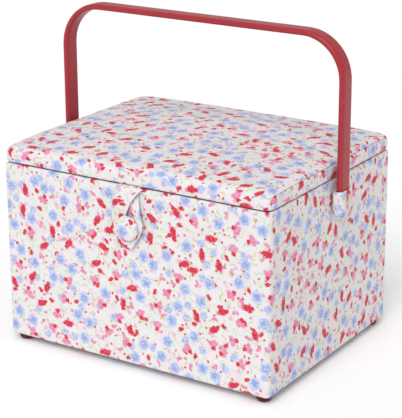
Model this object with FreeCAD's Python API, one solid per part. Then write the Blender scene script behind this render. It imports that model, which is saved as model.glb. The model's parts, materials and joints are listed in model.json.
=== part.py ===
import FreeCAD, Part
import os
import math

# Fabric-covered sewing box with a padded lid on a cloth hinge, a swinging
# plastic carrying handle, a loop-and-button closure and two lift-out trays.
# Millimetres.  +X to the right, +Y to the back, +Z up, floor at Z = 0.

os.makedirs("parts", exist_ok=True)
V = FreeCAD.Vector

# ---------------------------------------------------------------- driving sizes
# body
box_width = 320.0
box_depth = 254.0
body_height = 191.0
body_corner_radius = 5.0
cover_thick = 1.2
wall_board_thick = 4.0
base_board_thick = 5.0
lining_thick = 1.0
underside_thick = 0.8
hem_width = 18.0

# feet
foot_height = 8.0
foot_radius = 8.0
foot_flat_radius = 4.5
foot_collar_height = 2.0
foot_inset = 12.0
screw_radius = 1.4
screw_head_radius = 3.0
screw_depth_in_foot = 4.5

# lid
lid_gap = 0.6
lid_carcass_height = 12.0
lid_crown = 8.0
lid_corner_rise = 8.0
lid_corner_radius = 9.0
lid_edge_radius = 8.0
lid_board_thick = 3.0
lid_frame_width = 8.0
lid_hem_thick = 0.8
lid_lining_thick = 1.5

# pocket and pin cushion inside the lid
pocket_width = 250.0
pocket_height = 96.0
pocket_thick = 2.2
pocket_edge_margin = 4.1
pocket_elastic_width = 7.0
pocket_elastic_extra = 1.2
pin_cushion_width = 110.0
pin_cushion_depth = 62.0
pin_cushion_thick = 7.2
pin_cushion_edge = 3.5

# cloth hinge
hinge_strip_thick = 0.9
hinge_strip_on_body = 24.0
hinge_strip_on_lid = 11.0
hinge_strip_end_gap = 14.0

# handle
handle_y = 3.0
pivot_below_rim = 20.0
handle_reach = 166.0
strap_width = 20.5
strap_thick = 6.5
handle_bend_radius = 45.0
side_gap = 1.5

# cuffs and rivets
cuff_width = 24.0
cuff_inner_wall = 3.7
cuff_outer_wall = 2.0
cuff_above_pivot = 10.0
cuff_below_pivot = 19.0
cuff_edge_radius = 3.6
rivet_shank_radius = 1.5
rivet_head_radius = 2.5
rivet_head_height = 1.2
rivet_tail_height = 0.9
rivet_washer_radius = 5.0
rivet_washer_thick = 0.8
pivot_washer_radius = 7.0

# button
button_below_rim = 42.0
button_radius = 13.0
button_dome = 4.0
button_rim_thick = 1.2
button_back_thick = 1.2
button_back_radius = 11.0
button_shank_radius = 3.0
thread_radius = 0.8
anchor_radius = 7.0
anchor_thick = 1.2

# closure loop
loop_thick = 2.4
loop_length = 66.0
loop_neck_width = 26.0
loop_wide = 38.0
loop_strip_width = 11.0
loop_widest_above_button = 4.0
loop_taper_below_button = 8.0
loop_taper_share = 0.92
loop_mitre_share = 1.35
loop_standoff = 0.9
loop_tab_depth = 9.0

# trays
tray_drop = 36.0
tray_height = 38.0
tray_wall = 2.0
tray_floor = 2.0
tray_divider = 1.6
tray_divider_drop = 3.0
tray_corner_radius = 6.0
tray_end_gap = 3.8
tray_side_gap = 2.0
tray_grip_width = 54.0
tray_grip_height = 15.0
tray_grip_margin = 4.0
ledge_width = 10.0
ledge_height = 12.0

# clearances
seat_gap = 0.3
glue_gap = 0.1
pocket_gap = 0.25
pivot_gap = 0.1
screw_gap = 0.1
rivet_fit_gap = 0.02

# ---------------------------------------------------------------- derived places
half_width = box_width / 2
half_depth = box_depth / 2
underside_z = foot_height
rim_z = foot_height + body_height
board_half_width = half_width - cover_thick
board_half_depth = half_depth - cover_thick
inner_half_width = board_half_width - wall_board_thick
inner_half_depth = board_half_depth - wall_board_thick
lined_half_width = inner_half_width - lining_thick
lined_half_depth = inner_half_depth - lining_thick
board_bottom_z = underside_z + underside_thick
base_top_z = board_bottom_z + base_board_thick
board_top_z = rim_z - cover_thick

lid_bottom_z = rim_z + lid_gap
lid_carcass_top_z = lid_bottom_z + lid_carcass_height
lid_top_z = lid_carcass_top_z + lid_corner_rise + lid_crown
lid_board_z = lid_carcass_top_z - lid_board_thick
frame_inner_half_width = half_width - cover_thick - lid_frame_width
frame_inner_half_depth = half_depth - cover_thick - lid_frame_width
lid_lining_z = lid_board_z - lid_lining_thick

hinge_y = half_depth + hinge_strip_thick

pivot_z = rim_z - pivot_below_rim
cuff_inner_x = half_width + side_gap
pocket_inner_x = cuff_inner_x + cuff_inner_wall
strap_x = pocket_inner_x + pocket_gap + strap_thick / 2
cuff_outer_x = strap_x + strap_thick / 2 + pocket_gap + cuff_outer_wall

button_z = rim_z - button_below_rim
loop_back_y = -half_depth - loop_standoff
loop_front_y = loop_back_y - loop_thick
button_disc_y = loop_front_y - loop_standoff
button_front_y = button_disc_y - button_back_thick - button_rim_thick - button_dome

tray_top_z = rim_z - tray_drop
tray_bottom_z = tray_top_z - tray_height
ledge_top_z = tray_bottom_z - seat_gap
tray_length = 2 * (lined_half_width - tray_end_gap)
tray_width = (2 * lined_half_depth - 3 * tray_side_gap) / 2

# The overall box is centred on Y = 0, counting the button in front and the hinge behind.
front_reach = -button_front_y
back_reach = hinge_y
centre_shift = V(0, (front_reach - back_reach) / 2, 0)


# ---------------------------------------------------------------- helpers
def save(name, shape):
    """Write one node, moved so that the overall box is centred."""
    moved = shape.copy()
    moved.translate(centre_shift)
    moved.exportStep("parts/" + name + ".step")


def block(x0, x1, y0, y1, z0, z1):
    return Part.makeBox(x1 - x0, y1 - y0, z1 - z0, V(x0, y0, z0))


def rounded_prism(half_w, half_d, radius, z0, z1, y_mid=0.0):
    """Upright prism with rounded upright corners."""
    solid = block(-half_w, half_w, y_mid - half_d, y_mid + half_d, z0, z1)
    if radius <= 0:
        return solid
    uprights = [e for e in solid.Edges if abs(e.tangentAt(e.FirstParameter).z) > 0.5]
    return solid.makeFillet(radius, uprights)


def cylinder(radius, length, start, direction):
    return Part.makeCylinder(radius, length, start, direction)


def extrude_outline(edges, direction):
    return Part.Face(Part.Wire(edges)).extrude(direction)


def polygon_edges(points):
    closed = points + [points[0]]
    return [Part.LineSegment(a, b).toShape() for a, b in zip(closed, closed[1:])]


# ---------------------------------------------------------------- body carcass
def button_holes():
    """Cutter for the thread hole through the front of the body."""
    start = V(0, -half_depth - 1, button_z)
    return cylinder(thread_radius + pivot_gap, cover_thick + wall_board_thick + 2, start, V(0, 1, 0))


def anchor_pocket():
    """Shallow recess in the inner face of the front board for the anchor disc."""
    start = V(0, -inner_half_depth + 1, button_z)
    return cylinder(anchor_radius + glue_gap, anchor_thick + glue_gap + 1, start, V(0, -1, 0))


def rivet_holes():
    """Cutter for both pivot holes, right through the body from side to side."""
    reach = half_width + 1
    start = V(-reach, handle_y, pivot_z)
    return cylinder(rivet_shank_radius + pivot_gap, 2 * reach, start, V(1, 0, 0))


def foot_places():
    x = half_width - foot_inset
    y = half_depth - foot_inset
    return {
        "front_left": (-x, -y),
        "front_right": (x, -y),
        "back_left": (-x, y),
        "back_right": (x, y),
    }


def screw_holes():
    cuts = []
    for x, y in foot_places().values():
        start = V(x, y, underside_z - 1)
        cuts.append(cylinder(screw_radius + screw_gap, base_board_thick + 3, start, V(0, 0, 1)))
    return Part.makeCompound(cuts)


def screw_head_recesses():
    cuts = []
    for x, y in foot_places().values():
        depth = screw_head_radius - screw_radius
        cone = Part.makeCone(
            screw_radius + screw_gap, screw_head_radius + screw_gap, depth,
            V(x, y, base_top_z - depth), V(0, 0, 1))
        cuts.append(cone)
    return Part.makeCompound(cuts)


def base_board():
    board = block(-inner_half_width, inner_half_width, -inner_half_depth, inner_half_depth,
                  board_bottom_z, base_top_z)
    return board.cut(screw_holes()).cut(screw_head_recesses())


def long_board(side):
    """Front (side -1) or back (side +1) board, full width with rounded outer corners."""
    radius = max(body_corner_radius - cover_thick, 0.5)
    whole = rounded_prism(board_half_width, board_half_depth, radius, board_bottom_z, board_top_z)
    y0, y1 = sorted((side * inner_half_depth, side * (board_half_depth + 1)))
    return whole.common(block(-half_width, half_width, y0, y1, underside_z, rim_z))


def side_board(side):
    x0, x1 = sorted((side * inner_half_width, side * board_half_width))
    return block(x0, x1, -inner_half_depth, inner_half_depth, board_bottom_z, board_top_z)


def body_cover():
    """Printed cotton glued round the walls, folded over the rim and under the base."""
    outer = rounded_prism(half_width, half_depth, body_corner_radius, underside_z, rim_z)
    radius = max(body_corner_radius - cover_thick, 0.5)
    core = rounded_prism(board_half_width, board_half_depth, radius, board_bottom_z, board_top_z)
    mouth = block(-inner_half_width, inner_half_width, -inner_half_depth, inner_half_depth,
                  board_top_z - 1, rim_z + 1)
    below = block(-half_width + hem_width, half_width - hem_width,
                  -half_depth + hem_width, half_depth - hem_width, underside_z - 1, board_bottom_z + 1)
    skin = outer.cut(core).cut(mouth).cut(below)
    return skin.cut(button_holes()).cut(rivet_holes()).cut(screw_holes())


def underside_sheet():
    return block(-half_width + hem_width + glue_gap, half_width - hem_width - glue_gap,
                 -half_depth + hem_width + glue_gap, half_depth - hem_width - glue_gap,
                 underside_z, board_bottom_z)


def body_lining():
    """Plain lining glued to the inner faces of the four walls."""
    floor_z = base_top_z + lining_thick
    outer = block(-inner_half_width, inner_half_width, -inner_half_depth, inner_half_depth,
                  floor_z, rim_z - lining_thick)
    inner = block(-lined_half_width, lined_half_width, -lined_half_depth, lined_half_depth,
                  floor_z - 1, rim_z + 1)
    return outer.cut(inner).cut(rivet_holes())


def floor_lining():
    return block(-inner_half_width, inner_half_width, -inner_half_depth, inner_half_depth,
                 base_top_z, base_top_z + lining_thick)


def tray_ledge(side):
    x0, x1 = sorted((side * lined_half_width, side * (lined_half_width - ledge_width)))
    return block(x0, x1, -lined_half_depth, lined_half_depth, ledge_top_z - ledge_height, ledge_top_z)


# ---------------------------------------------------------------- feet
def foot(x, y):
    """Moulded dome foot with a small flat to stand on and a hole for its screw."""
    radial = foot_radius - foot_flat_radius
    drop = foot_height - foot_collar_height
    middle = V(foot_flat_radius + radial * math.sin(math.pi / 4), 0, drop * (1 - math.cos(math.pi / 4)))
    profile = [
        Part.LineSegment(V(0, 0, 0), V(foot_flat_radius, 0, 0)).toShape(),
        Part.Arc(V(foot_flat_radius, 0, 0), middle, V(foot_radius, 0, drop)).toShape(),
        Part.LineSegment(V(foot_radius, 0, drop), V(foot_radius, 0, foot_height)).toShape(),
        Part.LineSegment(V(foot_radius, 0, foot_height), V(0, 0, foot_height)).toShape(),
        Part.LineSegment(V(0, 0, foot_height), V(0, 0, 0)).toShape(),
    ]
    dome = Part.Face(Part.Wire(profile)).revolve(V(0, 0, 0), V(0, 0, 1), 360)
    hole = cylinder(screw_radius + screw_gap, screw_depth_in_foot + screw_gap + 1,
                    V(0, 0, foot_height + 1), V(0, 0, -1))
    dome = dome.cut(hole)
    dome.translate(V(x, y, 0))
    return dome


def foot_screws():
    screws = []
    for x, y in foot_places().values():
        top = base_top_z
        head_depth = screw_head_radius - screw_radius
        tip_z = foot_height - screw_depth_in_foot
        shank = cylinder(screw_radius, top - head_depth - tip_z, V(x, y, tip_z), V(0, 0, 1))
        head = Part.makeCone(screw_radius, screw_head_radius, head_depth,
                             V(x, y, top - head_depth), V(0, 0, 1))
        screws.append(shank.fuse(head).removeSplitter())
    return Part.makeCompound(screws)


# ---------------------------------------------------------------- lid
def crown_profile(half, inset, z_bottom):
    """Cross-section of the padded lid as (offset, height) edges: gentle crown, rolled edges."""
    side = half - inset
    edge_z = lid_carcass_top_z + lid_corner_rise - inset
    top_z = lid_top_z - inset
    roll = max(lid_edge_radius - inset, 1.0)
    near = roll * (1 - math.sin(math.pi / 4))
    corners = [(-side, z_bottom), (side, z_bottom), (side, edge_z - roll), (side - near, edge_z - near),
               (side - roll, edge_z), (0, top_z), (roll - side, edge_z), (near - side, edge_z - near),
               (-side, edge_z - roll)]
    return corners


def crown_bar(half, length, inset, z_bottom, along_x):
    """The lid's cross-section drawn out along X or along Y."""
    def place(point):
        offset, height = point
        return V(-length, offset, height) if along_x else V(offset, -length, height)

    p = [place(point) for point in crown_profile(half, inset, z_bottom)]
    edges = [
        Part.LineSegment(p[0], p[1]).toShape(),
        Part.LineSegment(p[1], p[2]).toShape(),
        Part.Arc(p[2], p[3], p[4]).toShape(),
        Part.Arc(p[4], p[5], p[6]).toShape(),
        Part.Arc(p[6], p[7], p[8]).toShape(),
        Part.LineSegment(p[8], p[0]).toShape(),
    ]
    return extrude_outline(edges, V(2 * length, 0, 0) if along_x else V(0, 2 * length, 0))


def crowned(inset, z_bottom):
    """Padded lid outline: crowned both ways, with rolled top edges and rounded corners."""
    radius = max(lid_corner_radius - inset, 0.5)
    prism = rounded_prism(half_width - inset, half_depth - inset, radius, z_bottom, lid_top_z + 1)
    over_depth = crown_bar(half_depth, half_width, inset, z_bottom, True)
    over_width = crown_bar(half_width, half_depth, inset, z_bottom, False)
    return prism.common(over_depth).common(over_width)


def strap_notch():
    """Room under the front of the lid where the closure loop comes out."""
    half = loop_neck_width / 2 + glue_gap
    return block(-half, half, -half_depth - 1, -half_depth + loop_tab_depth,
                 lid_bottom_z - 1, lid_bottom_z + loop_thick + glue_gap)


def lid_cover():
    """Printed cotton over the lid, turned under the frame strips."""
    shell = crowned(0, lid_bottom_z).cut(crowned(cover_thick, lid_bottom_z - 1))
    edge = rounded_prism(half_width, half_depth, lid_corner_radius,
                         lid_bottom_z, lid_bottom_z + lid_hem_thick)
    opening = block(-frame_inner_half_width, frame_inner_half_width,
                    -frame_inner_half_depth, frame_inner_half_depth,
                    lid_bottom_z - 1, lid_bottom_z + lid_hem_thick + 1)
    return shell.fuse(edge.cut(opening)).removeSplitter().cut(strap_notch())


def lid_core(z0, z1):
    return rounded_prism(half_width - cover_thick, half_depth - cover_thick,
                         lid_corner_radius - cover_thick, z0, z1)


def lid_board():
    return lid_core(lid_board_z, lid_carcass_top_z)


def lid_frame_long(side):
    y0, y1 = sorted((side * frame_inner_half_depth, side * (half_depth + 1)))
    strip = lid_core(lid_bottom_z + lid_hem_thick, lid_board_z)
    strip = strip.common(block(-half_width, half_width, y0, y1, lid_bottom_z, lid_carcass_top_z))
    if side < 0:
        strip = strip.cut(strap_notch())
    return strip


def lid_frame_side(side):
    x0, x1 = sorted((side * frame_inner_half_width, side * (half_width - cover_thick)))
    return block(x0, x1, -frame_inner_half_depth, frame_inner_half_depth,
                 lid_bottom_z + lid_hem_thick, lid_board_z)


def lid_pad():
    """Foam on the lid board, just inside the cover."""
    foam = crowned(cover_thick + glue_gap, lid_bottom_z)
    below = block(-half_width, half_width, -half_depth, half_depth, lid_bottom_z - 1, lid_carcass_top_z)
    return foam.cut(below)


def lid_lining():
    half_w = frame_inner_half_width - glue_gap
    half_d = frame_inner_half_depth - glue_gap
    return block(-half_w, half_w, -half_d, half_d, lid_lining_z, lid_board_z)


def pocket_span():
    """Front and back of the lid pocket, towards the hinge side of the lid."""
    back = frame_inner_half_depth - pocket_edge_margin
    return back - pocket_height, back


def lid_pocket():
    y0, y1 = pocket_span()
    return block(-pocket_width / 2, pocket_width / 2, y0 + pocket_elastic_width, y1,
                 lid_lining_z - pocket_thick, lid_lining_z)


def pocket_elastic():
    y0, _ = pocket_span()
    thick = pocket_thick + pocket_elastic_extra
    band = block(-pocket_width / 2, pocket_width / 2, y0, y0 + pocket_elastic_width,
                 lid_lining_z - thick, lid_lining_z)
    long_edges = [e for e in band.Edges if abs(e.tangentAt(e.FirstParameter).x) > 0.5
                  and e.BoundBox.ZMax < lid_lining_z - 1]
    return band.makeFillet(thick * 0.4, long_edges)


def pin_cushion():
    front, _ = pocket_span()
    y_mid = (front - frame_inner_half_depth) / 2
    pad = rounded_prism(pin_cushion_width / 2, pin_cushion_depth / 2, 2 * pin_cushion_edge,
                        lid_lining_z - pin_cushion_thick, lid_lining_z, y_mid)
    lower = [e for e in pad.Edges if e.BoundBox.ZMax < lid_lining_z - pin_cushion_thick + 0.1]
    return pad.makeFillet(pin_cushion_edge, lower)


# ---------------------------------------------------------------- cloth hinge
def hinge_strip_body():
    half = half_width - hinge_strip_end_gap
    return block(-half, half, half_depth, half_depth + hinge_strip_thick,
                 rim_z - hinge_strip_on_body, rim_z)


def hinge_strip_lid():
    half = half_width - hinge_strip_end_gap
    return block(-half, half, half_depth, half_depth + hinge_strip_thick,
                 lid_bottom_z, lid_bottom_z + hinge_strip_on_lid)


# ---------------------------------------------------------------- handle
def strap_section(centre, across, normal, width, thick):
    """Closed flat-oval section: a band with full-round edges."""
    half_flat = (width - thick) / 2
    half_thick = thick / 2
    a = centre + across * half_flat + normal * half_thick
    b = centre - across * half_flat + normal * half_thick
    c = centre - across * half_flat - normal * half_thick
    d = centre + across * half_flat - normal * half_thick
    left_tip = centre - across * (width / 2)
    right_tip = centre + across * (width / 2)
    edges = [
        Part.LineSegment(a, b).toShape(),
        Part.Arc(b, left_tip, c).toShape(),
        Part.LineSegment(c, d).toShape(),
        Part.Arc(d, right_tip, a).toShape(),
    ]
    return Part.Face(Part.Wire(edges))


def handle():
    """One moulded strap: two legs, two bends and a bar, with round ends at the pivots."""
    top_z = pivot_z + handle_reach
    bend_z = top_z - handle_bend_radius
    bar_x = strap_x - handle_bend_radius
    y_dir = V(0, 1, 0)
    pieces = []
    for side in (-1, 1):
        foot_of_leg = V(side * strap_x, handle_y, pivot_z)
        section = strap_section(foot_of_leg, y_dir, V(1, 0, 0), strap_width, strap_thick)
        pieces.append(section.extrude(V(0, 0, bend_z - pivot_z)))
        half_plane = block(side * strap_x - strap_thick, side * strap_x + strap_thick,
                           handle_y, handle_y + strap_width, pivot_z - 1, pivot_z + 1)
        half_section = section.common(half_plane)
        end_cap = half_section.revolve(foot_of_leg, V(1, 0, 0), -180)
        pieces.append(end_cap)
        start = V(side * strap_x, handle_y, bend_z)
        section = strap_section(start, y_dir, V(1, 0, 0), strap_width, strap_thick)
        bend_centre = V(side * bar_x, handle_y, bend_z)
        pieces.append(section.revolve(bend_centre, V(0, -side, 0), 90))
    bar_start = V(-bar_x, handle_y, top_z)
    section = strap_section(bar_start, y_dir, V(0, 0, 1), strap_width, strap_thick)
    pieces.append(section.extrude(V(2 * bar_x, 0, 0)))
    body = pieces[0].fuse(pieces[1:]).removeSplitter()
    return body.cut(handle_rivet_holes(rivet_fit_gap))


def handle_rivet_holes(gap):
    """Cutter for the rivet holes through both ends of the handle and its cuffs."""
    cuts = []
    for side in (-1, 1):
        start = V(side * (half_width - 1), handle_y, pivot_z)
        cuts.append(cylinder(rivet_shank_radius + gap, cuff_outer_x - half_width + 2,
                             start, V(side, 0, 0)))
    return Part.makeCompound(cuts)


def cuff(side):
    """Fabric-covered sleeve round one end of the handle, closed at the bottom."""
    x0, x1 = sorted((side * cuff_inner_x, side * cuff_outer_x))
    sleeve = block(x0, x1, handle_y - cuff_width / 2, handle_y + cuff_width / 2,
                   pivot_z - cuff_below_pivot, pivot_z + cuff_above_pivot)
    top = pivot_z + cuff_above_pivot
    rounded = [e for e in sleeve.Edges if e.BoundBox.ZMin < top - 1]
    sleeve = sleeve.makeFillet(cuff_edge_radius, rounded)
    bottom = V(side * strap_x, handle_y, pivot_z - strap_width / 2 - pocket_gap)
    room = strap_section(bottom, V(0, 1, 0), V(1, 0, 0),
                         strap_width + 2 * pocket_gap, strap_thick + 2 * pocket_gap)
    room = room.extrude(V(0, 0, strap_width / 2 + cuff_above_pivot + 2))
    return sleeve.cut(room).cut(handle_rivet_holes(rivet_fit_gap))


def rivet(side):
    """Domed brass rivet, the pivot pin: head outside the cuff, tail inside the box."""
    out = V(side, 0, 0)
    tail_x = lined_half_width - seat_gap - rivet_washer_thick
    shank = cylinder(rivet_shank_radius, cuff_outer_x - tail_x, V(side * tail_x, handle_y, pivot_z), out)
    dome_radius = (rivet_head_radius ** 2 + rivet_head_height ** 2) / (2 * rivet_head_height)
    ball = Part.makeSphere(dome_radius, V(side * (cuff_outer_x + rivet_head_height - dome_radius),
                                          handle_y, pivot_z))
    slab = cylinder(rivet_head_radius * 2, rivet_head_height + 1,
                    V(side * cuff_outer_x, handle_y, pivot_z), out)
    head = ball.common(slab)
    tail = cylinder(rivet_head_radius, rivet_tail_height,
                    V(side * (tail_x - rivet_tail_height), handle_y, pivot_z), out)
    return shank.fuse([head, tail]).removeSplitter()


def ring_x(inner, outer, x0, x1):
    """Flat washer on the pivot axis between two X positions."""
    start = V(min(x0, x1), handle_y, pivot_z)
    length = abs(x1 - x0)
    disc = cylinder(outer, length, start, V(1, 0, 0))
    return disc.cut(cylinder(inner, length, start, V(1, 0, 0)))


def rivet_washer(side):
    outer_x = lined_half_width - seat_gap
    return ring_x(rivet_shank_radius + glue_gap, rivet_washer_radius,
                  side * outer_x, side * (outer_x - rivet_washer_thick))


def pivot_washer(side):
    return ring_x(rivet_shank_radius + glue_gap, pivot_washer_radius,
                  side * cuff_inner_x, side * (half_width + seat_gap))


# ---------------------------------------------------------------- button and loop
def button_profile(radius, rim, dome, y_front):
    """Disc with a domed front, revolved about the button's axis; y_front is the dome's tip."""
    tip = V(0, y_front, button_z)
    shoulder = V(radius, y_front + dome, button_z)
    middle = V(radius * math.sin(math.pi / 4), y_front + dome * (1 - math.cos(math.pi / 4)), button_z)
    back = V(radius, y_front + dome + rim, button_z)
    centre = V(0, y_front + dome + rim, button_z)
    edges = [
        Part.Arc(tip, middle, shoulder).toShape(),
        Part.LineSegment(shoulder, back).toShape(),
        Part.LineSegment(back, centre).toShape(),
        Part.LineSegment(centre, tip).toShape(),
    ]
    return Part.Face(Part.Wire(edges)).revolve(tip, V(0, 1, 0), 360)


def button_cap():
    """Domed shell covered in the printed cotton."""
    cap = button_profile(button_radius, button_rim_thick + button_back_thick, button_dome, button_front_y)
    recess = cylinder(button_back_radius + glue_gap, button_back_thick, V(0, button_disc_y, button_z),
                      V(0, -1, 0))
    return cap.cut(recess)


def button_back():
    disc = cylinder(button_back_radius, button_back_thick, V(0, button_disc_y, button_z), V(0, -1, 0))
    shank_length = -half_depth - glue_gap - button_disc_y
    shank = cylinder(button_shank_radius, shank_length, V(0, button_disc_y, button_z), V(0, 1, 0))
    hole = cylinder(thread_radius + glue_gap, shank_length, V(0, button_disc_y + 1, button_z), V(0, 1, 0))
    return disc.fuse(shank).removeSplitter().cut(hole)


def button_anchor():
    back = -inner_half_depth
    disc = cylinder(anchor_radius, anchor_thick, V(0, back, button_z), V(0, -1, 0))
    return disc.cut(cylinder(thread_radius + glue_gap, anchor_thick, V(0, back, button_z), V(0, -1, 0)))


def button_thread():
    start = button_disc_y + 1 + glue_gap
    return cylinder(thread_radius, -inner_half_depth - start, V(0, start, button_z), V(0, 1, 0))


def loop_outline(width_cut, length_cut):
    """Teardrop outline in X and Z, from the neck at the lid down to the mitred tip."""
    top_z = rim_z
    wide_z = button_z + loop_widest_above_button
    taper_z = button_z - loop_taper_below_button
    tip_z = rim_z - loop_length
    neck = loop_neck_width / 2 - width_cut
    wide = loop_wide / 2 - width_cut
    taper = wide * loop_taper_share
    points = [
        V(-neck, loop_back_y, top_z - length_cut),
        V(neck, loop_back_y, top_z - length_cut),
        V(wide, loop_back_y, wide_z),
        V(taper, loop_back_y, taper_z),
        V(0, loop_back_y, tip_z + length_cut),
        V(-taper, loop_back_y, taper_z),
        V(-wide, loop_back_y, wide_z),
    ]
    return polygon_edges(points)


def closure_loop():
    """Self-fabric loop that hangs from the lid and goes round the button's shank."""
    away = V(0, -loop_thick, 0)
    outer = extrude_outline(loop_outline(0, 0), away)
    inner_edges = loop_outline(loop_strip_width, loop_strip_width * loop_mitre_share)
    return outer.cut(extrude_outline(inner_edges, away))


def loop_tab():
    """Flat tail of the loop, glued under the front of the lid."""
    half = loop_neck_width / 2
    return block(-half, half, loop_front_y, -half_depth + loop_tab_depth - glue_gap,
                 lid_bottom_z, lid_bottom_z + loop_thick)


# ---------------------------------------------------------------- trays
def tray_slot_y(index):
    """Front and back of the front tray (index 0) or the rear tray (index 1)."""
    front = -lined_half_depth + tray_side_gap + index * (tray_width + tray_side_gap)
    return front, front + tray_width


def tray(index):
    """Moulded tray: a floor and four walls with rounded corners."""
    y0, y1 = tray_slot_y(index)
    y_mid = (y0 + y1) / 2
    half_l = tray_length / 2
    half_w = tray_width / 2
    outer = rounded_prism(half_l, half_w, tray_corner_radius, tray_bottom_z, tray_top_z, y_mid)
    hollow = rounded_prism(half_l - tray_wall, half_w - tray_wall, tray_corner_radius - tray_wall,
                           tray_bottom_z + tray_floor, tray_top_z + 1, y_mid)
    return outer.cut(hollow)


def tray_divider_plate(index, x, top):
    """Upright plate from a tray's front wall to its back wall."""
    y0, y1 = tray_slot_y(index)
    return block(x - tray_divider / 2, x + tray_divider / 2, y0 + tray_wall, y1 - tray_wall,
                 tray_bottom_z + tray_floor, top)


def tray_grip(index):
    """Middle plate of a tray, up to its rim, with the slot that fingers lift the tray by."""
    y_mid = sum(tray_slot_y(index)) / 2
    plate = tray_divider_plate(index, 0, tray_top_z)
    return plate.cut(rounded_slot(0, y_mid, tray_top_z - tray_grip_margin - tray_grip_height / 2))


def tray_dividers(index, with_arms):
    """Two dividers halfway to a tray's ends. An arm makes one a T, with its arm towards that end."""
    y_mid = sum(tray_slot_y(index)) / 2
    end = tray_length / 2 - tray_wall
    top = tray_top_z - tray_divider_drop
    dividers = []
    for side in (-1, 1):
        x = side * end / 2
        divider = tray_divider_plate(index, x, top)
        if with_arms:
            arm_x = sorted((x, side * end))
            arm = block(arm_x[0], arm_x[1], y_mid - tray_divider / 2, y_mid + tray_divider / 2,
                        tray_bottom_z + tray_floor, top)
            divider = divider.fuse(arm).removeSplitter()
        dividers.append(divider)
    return Part.makeCompound(dividers)


def rounded_slot(x, y_mid, z_mid):
    """Cutter for the finger slot: a long hole with round ends, through a divider."""
    reach = tray_grip_width / 2 - tray_grip_height / 2
    length = 4 * tray_divider
    start_x = x - length / 2
    middle = block(start_x, start_x + length, y_mid - reach, y_mid + reach,
                   z_mid - tray_grip_height / 2, z_mid + tray_grip_height / 2)
    ends = []
    for side in (-1, 1):
        ends.append(cylinder(tray_grip_height / 2, length, V(start_x, y_mid + side * reach, z_mid),
                             V(1, 0, 0)))
    return middle.fuse(ends)


# ---------------------------------------------------------------- write every node
save("base_board", base_board())
save("front_board", long_board(-1).cut(button_holes()).cut(anchor_pocket()))
save("back_board", long_board(1))
save("left_board", side_board(-1).cut(rivet_holes()))
save("right_board", side_board(1).cut(rivet_holes()))
save("body_cover", body_cover())
save("body_lining", body_lining())
save("floor_lining", floor_lining())
save("underside_sheet", underside_sheet())
save("foot_screws", foot_screws())
for place, (foot_x, foot_y) in foot_places().items():
    save("foot_" + place, foot(foot_x, foot_y))

save("lid_board", lid_board())
save("lid_frame_front", lid_frame_long(-1))
save("lid_frame_back", lid_frame_long(1))
save("lid_pad", lid_pad())
save("lid_cover", lid_cover())
save("lid_lining", lid_lining())
save("lid_pocket", lid_pocket())
save("pocket_elastic", pocket_elastic())
save("pin_cushion", pin_cushion())
save("hinge_strip_body", hinge_strip_body())
save("hinge_strip_lid", hinge_strip_lid())

save("handle", handle())
for name, side in (("left", -1), ("right", 1)):
    save("lid_frame_" + name, lid_frame_side(side))
    save("tray_ledge_" + name, tray_ledge(side))
    save("cuff_" + name, cuff(side))
    save("rivet_" + name, rivet(side))
    save("rivet_washer_" + name, rivet_washer(side))
    save("pivot_washer_" + name, pivot_washer(side))

save("button_cap", button_cap())
save("button_back", button_back())
save("button_anchor", button_anchor())
save("button_thread", button_thread())
save("closure_loop", closure_loop())
save("loop_tab", loop_tab())

save("tray_front", tray(0))
save("tray_front_grip", tray_grip(0))
save("tray_front_dividers", tray_dividers(0, with_arms=True))
save("tray_rear", tray(1))
save("tray_rear_grip", tray_grip(1))
save("tray_rear_dividers", tray_dividers(1, with_arms=False))
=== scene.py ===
"""Looks of the sewing box with trays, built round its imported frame. Metres, one shared frame."""

import json
import math

import bmesh
import bpy
import numpy as np
from mathutils import Matrix, Vector, noise


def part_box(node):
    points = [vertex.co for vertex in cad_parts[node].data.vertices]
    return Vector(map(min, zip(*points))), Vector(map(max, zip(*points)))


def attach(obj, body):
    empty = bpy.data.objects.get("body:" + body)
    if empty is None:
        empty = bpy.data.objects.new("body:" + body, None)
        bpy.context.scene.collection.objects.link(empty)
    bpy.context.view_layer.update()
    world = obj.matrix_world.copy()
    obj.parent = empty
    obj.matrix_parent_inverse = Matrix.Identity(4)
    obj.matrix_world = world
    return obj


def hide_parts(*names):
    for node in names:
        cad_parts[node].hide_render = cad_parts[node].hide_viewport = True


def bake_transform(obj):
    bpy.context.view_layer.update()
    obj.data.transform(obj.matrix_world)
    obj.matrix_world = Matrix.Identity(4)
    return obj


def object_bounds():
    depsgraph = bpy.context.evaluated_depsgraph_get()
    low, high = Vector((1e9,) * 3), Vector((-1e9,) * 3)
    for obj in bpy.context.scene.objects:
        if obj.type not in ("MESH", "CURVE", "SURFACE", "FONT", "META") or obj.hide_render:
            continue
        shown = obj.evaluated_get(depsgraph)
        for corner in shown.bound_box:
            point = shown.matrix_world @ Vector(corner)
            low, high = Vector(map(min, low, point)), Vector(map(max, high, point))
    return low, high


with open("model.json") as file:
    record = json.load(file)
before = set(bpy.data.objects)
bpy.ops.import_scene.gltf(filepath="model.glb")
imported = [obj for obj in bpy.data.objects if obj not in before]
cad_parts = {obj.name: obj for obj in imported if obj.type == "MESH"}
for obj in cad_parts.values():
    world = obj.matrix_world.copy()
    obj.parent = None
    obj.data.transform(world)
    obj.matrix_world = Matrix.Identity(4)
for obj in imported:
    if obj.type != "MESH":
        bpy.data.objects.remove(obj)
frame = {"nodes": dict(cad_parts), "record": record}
cad_low, cad_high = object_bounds()
mm = 0.001


# ---------------------------------------------------------------- objects, colours and nodes
def new_object(name, data):
    """New object in the scene, at the origin."""
    made = bpy.data.objects.new(name, data)
    bpy.context.scene.collection.objects.link(made)
    return made


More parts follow.
